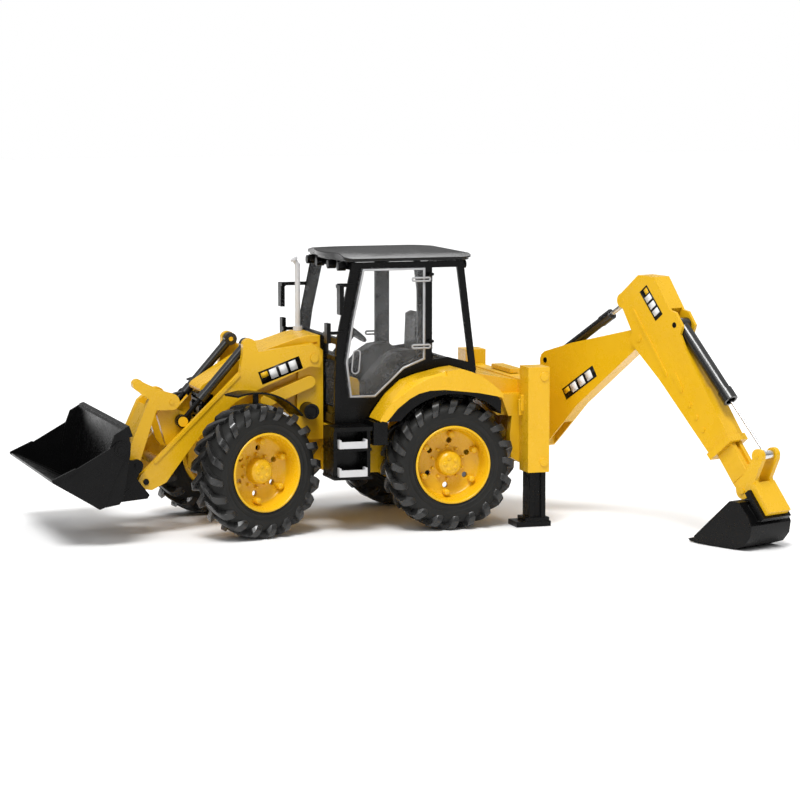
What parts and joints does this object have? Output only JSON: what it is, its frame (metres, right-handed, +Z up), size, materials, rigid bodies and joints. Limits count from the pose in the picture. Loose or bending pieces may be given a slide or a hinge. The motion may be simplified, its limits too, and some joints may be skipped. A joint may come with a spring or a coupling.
{
  "type": "toy backhoe loader",
  "caption": "Toy backhoe loader: glazed cab, lugged wheels, front loader with opening bucket, telescopic backhoe swung to one side and drop-down stabiliser legs.",
  "frame": {"origin": "on the ground plane, half way between the two axles, on the machine's centre line", "axes": "+X forwards towards the front bucket, +Y to the machine's own left, +Z up"},
  "size_m": [0.4678, 0.3088, 0.19],
  "materials": {
    "yellow_paint": "smooth moulded yellow plastic, satin",
    "black_plastic": "moulded black plastic, satin",
    "roof_black": "glossy black moulding",
    "tyre_rubber": "matt black rubber with lugs",
    "silver_plastic": "silver coloured plastic",
    "bright_metal": "bright ram rods and pins",
    "clear_plastic": "clear moulded window plastic"
  },
  "bodies": {
    "machine": {"chassis": "yellow_paint", "front_axle": "yellow_paint", "rear_axle": "yellow_paint", "hood": "yellow_paint", "grille": "black_plastic", "loader_towers": "yellow_paint", "cross_tube": "black_plastic", "cab_frame": "black_plastic", "roof": "roof_black", "windscreen": "clear_plastic", "side_glass": "clear_plastic", "rear_window": "clear_plastic", "seat": "black_plastic", "steering_column": "black_plastic", "mirrors": "black_plastic", "work_lights": "black_plastic", "exhaust": "silver_plastic", "rear_fenders": "yellow_paint", "fender_liners": "black_plastic", "step_boxes": "black_plastic", "step_treads": "silver_plastic", "rear_frame": "yellow_paint", "stabiliser_housings": "yellow_paint"},
    "steer_left": {"knuckle_l": "black_plastic", "mudguard_l": "black_plastic"},
    "steer_right": {"knuckle_r": "black_plastic", "mudguard_r": "black_plastic"},
    "track_rod": {"tie_rod": "silver_plastic"},
    "wheel_front_left": {"tyre_fl": "tyre_rubber", "rim_fl": "yellow_paint"},
    "wheel_front_right": {"tyre_fr": "tyre_rubber", "rim_fr": "yellow_paint"},
    "wheel_rear_left": {"tyre_rl": "tyre_rubber", "rim_rl": "yellow_paint"},
    "wheel_rear_right": {"tyre_rr": "tyre_rubber", "rim_rr": "yellow_paint"},
    "hand_wheel": {"steering_wheel": "black_plastic"},
    "door_left": {"door_l": "clear_plastic"},
    "door_right": {"door_r": "clear_plastic"},
    "leg_left": {"leg_l": "black_plastic"},
    "leg_right": {"leg_r": "black_plastic"},
    "lift_arms": {"loader_arms": "yellow_paint"},
    "cranks": {"bell_cranks": "yellow_paint"},
    "links": {"tilt_links": "yellow_paint"},
    "tilt_ram_barrels": {"tilt_barrels": "black_plastic"},
    "tilt_ram_rods": {"tilt_rods": "black_plastic"},
    "front_bucket": {"loader_bucket": "black_plastic", "loader_pins": "black_plastic"},
    "jaw": {"bucket_jaw": "black_plastic"},
    "carriage": {"slide_carriage": "yellow_paint"},
    "post": {"kingpost": "yellow_paint"},
    "boom_arm": {"boom": "yellow_paint"},
    "crowd_ram_barrel": {"crowd_barrel": "black_plastic"},
    "crowd_ram_rod": {"crowd_rod": "bright_metal"},
    "dipper": {"stick_outer": "yellow_paint"},
    "dipper_extension": {"stick_inner": "yellow_paint"},
    "dig_ram_barrel": {"dig_barrel": "black_plastic"},
    "dig_ram_rod": {"dig_rod": "bright_metal"},
    "digging_tool": {"hitch": "yellow_paint", "digger_bucket": "black_plastic"}
  },
  "joints": [
    {"name": "steer_left_turn", "type": "hinge", "parent": "machine", "child": "steer_left", "pos_m": [0.069, 0.05, 0.045], "axis": [0, 0, 1], "range_deg": [-37.2, 0]},
    {"name": "steer_right_turn", "type": "hinge", "parent": "machine", "child": "steer_right", "pos_m": [0.069, -0.05, 0.045], "axis": [0, 0, 1], "range_deg": [-37.3, 0.1]},
    {"name": "track_rod_slide", "type": "slide", "parent": "machine", "child": "track_rod", "axis": [0, 1, 0], "range_m": [-0.0003, 0.0093]},
    {"name": "roll_front_left", "type": "hinge", "parent": "steer_left", "child": "wheel_front_left", "pos_m": [0.06581, 0.05948, 0.045], "axis": [-0.319, 0.9478, 0], "continuous": true},
    {"name": "roll_front_right", "type": "hinge", "parent": "steer_right", "child": "wheel_front_right", "pos_m": [0.07219, -0.05948, 0.045], "axis": [-0.319, 0.9478, 0], "continuous": true},
    {"name": "roll_rear_left", "type": "hinge", "parent": "machine", "child": "wheel_rear_left", "pos_m": [-0.069, 0.06, 0.045], "axis": [0, 1, 0], "continuous": true},
    {"name": "roll_rear_right", "type": "hinge", "parent": "machine", "child": "wheel_rear_right", "pos_m": [-0.069, -0.06, 0.045], "axis": [0, 1, 0], "continuous": true},
    {"name": "hand_wheel_turn", "type": "hinge", "parent": "machine", "child": "hand_wheel", "pos_m": [-0.02, 0, 0.131], "axis": [-0.6157, 0, 0.788], "range_deg": [-180, 180]},
    {"name": "door_left_swing", "type": "hinge", "parent": "machine", "child": "door_left", "pos_m": [-0.06, 0.0526, 0.09], "axis": [0, 0, 1], "range_deg": [0, 95]},
    {"name": "door_right_swing", "type": "hinge", "parent": "machine", "child": "door_right", "pos_m": [-0.06, -0.0526, 0.09], "axis": [0, 0, -1], "range_deg": [0, 95]},
    {"name": "leg_left_slide", "type": "slide", "parent": "machine", "child": "leg_left", "axis": [0, 0, 1], "range_m": [0, 0.0305]},
    {"name": "leg_right_slide", "type": "slide", "parent": "machine", "child": "leg_right", "axis": [0, 0, 1], "range_m": [0, 0.0305]},
    {"name": "loader_lift", "type": "hinge", "parent": "machine", "child": "lift_arms", "pos_m": [0.017, 0, 0.1165], "axis": [0, -1, 0], "range_deg": [-4, 36]},
    {"name": "loader_tilt", "type": "hinge", "parent": "lift_arms", "child": "front_bucket", "pos_m": [0.135, 0, 0.0365], "axis": [0, 1, 0], "range_deg": [-6, 34]},
    {"name": "jaw_open", "type": "hinge", "parent": "front_bucket", "child": "jaw", "pos_m": [0.1616, 0, 0.0646], "axis": [0, -1, 0], "range_deg": [0, 48]},
    {"name": "crank_turn", "type": "hinge", "parent": "lift_arms", "child": "cranks", "pos_m": [0.11, 0, 0.06], "axis": [0, 1, 0], "range_deg": [-4, 20]},
    {"name": "link_turn", "type": "hinge", "parent": "cranks", "child": "links", "pos_m": [0.1153, 0, 0.0892], "axis": [0, 1, 0], "range_deg": [-15, 3]},
    {"name": "tilt_barrel_turn", "type": "hinge", "parent": "lift_arms", "child": "tilt_ram_barrels", "pos_m": [0.0625, 0, 0.1265], "axis": [0, 1, 0], "range_deg": [-4, 1]},
    {"name": "tilt_rod_slide", "type": "slide", "parent": "tilt_ram_barrels", "child": "tilt_ram_rods", "axis": [0.6624, 0, -0.7491], "range_m": [-0.0008, 0.004]},
    {"name": "side_shift", "type": "slide", "parent": "machine", "child": "carriage", "axis": [0, 1, 0], "range_m": [-0.022, 0.022]},
    {"name": "backhoe_swing", "type": "hinge", "parent": "carriage", "child": "post", "pos_m": [-0.148, 0, 0], "axis": [0, 0, 1], "range_deg": [-20, 152]},
    {"name": "boom_lift", "type": "hinge", "parent": "post", "child": "boom_arm", "pos_m": [-0.15369, 0.01279, 0.056], "axis": [0.9135, 0.4067, 0], "range_deg": [-12, 12]},
    {"name": "dipper_crowd", "type": "hinge", "parent": "boom_arm", "child": "dipper", "pos_m": [-0.19559, 0.10688, 0.1313], "axis": [0.9135, 0.4067, 0], "range_deg": [-20, 14]},
    {"name": "crowd_barrel_turn", "type": "hinge", "parent": "boom_arm", "child": "crowd_ram_barrel", "pos_m": [-0.15853, 0.02366, 0.1088], "axis": [0.9135, 0.4067, 0], "range_deg": [-0.4, 0.4]},
    {"name": "crowd_rod_slide", "type": "slide", "parent": "crowd_ram_barrel", "child": "crowd_ram_rod", "axis": [-0.3451, 0.7751, 0.5293], "range_m": [-0.0072, 0.0102]},
    {"name": "dipper_extend", "type": "slide", "parent": "dipper", "child": "dipper_extension", "axis": [-0.256, 0.5749, -0.7771], "range_m": [0, 0.02]},
    {"name": "bucket_curl", "type": "hinge", "parent": "dipper_extension", "child": "digging_tool", "pos_m": [-0.23496, 0.19531, 0.03751], "axis": [-0.9135, -0.4067, 0], "range_deg": [-4, 48]},
    {"name": "dig_barrel_turn", "type": "hinge", "parent": "dipper", "child": "dig_ram_barrel", "pos_m": [-0.20893, 0.13686, 0.14243], "axis": [-0.9135, -0.4067, 0], "range_deg": [-0.2, 0.5]},
    {"name": "dig_rod_turn", "type": "hinge", "parent": "digging_tool", "child": "dig_ram_rod", "pos_m": [-0.23998, 0.20659, 0.06167], "axis": [-0.9135, -0.4067, 0], "range_deg": [-48.2, 4.2]}
  ],
  "couplings": [
    {"joint": "steer_right_turn", "follows": "steer_left_turn", "ratio": 1},
    {"joint": "track_rod_slide", "follows": "steer_left_turn", "m_per_rad": -0.013755},
    {"joint": "crank_turn", "follows": "loader_tilt", "ratio": 0.5784},
    {"joint": "link_turn", "follows": "loader_tilt", "ratio": -0.4153},
    {"joint": "tilt_barrel_turn", "follows": "loader_tilt", "ratio": -0.0958},
    {"joint": "tilt_rod_slide", "follows": "loader_tilt", "m_per_rad": 0.006028},
    {"joint": "crowd_barrel_turn", "follows": "dipper_crowd", "ratio": 0.014},
    {"joint": "crowd_rod_slide", "follows": "dipper_crowd", "m_per_rad": -0.0287},
    {"joint": "dig_barrel_turn", "follows": "bucket_curl", "ratio": 0.00746},
    {"joint": "dig_rod_turn", "follows": "bucket_curl", "ratio": -0.99254}
  ]
}
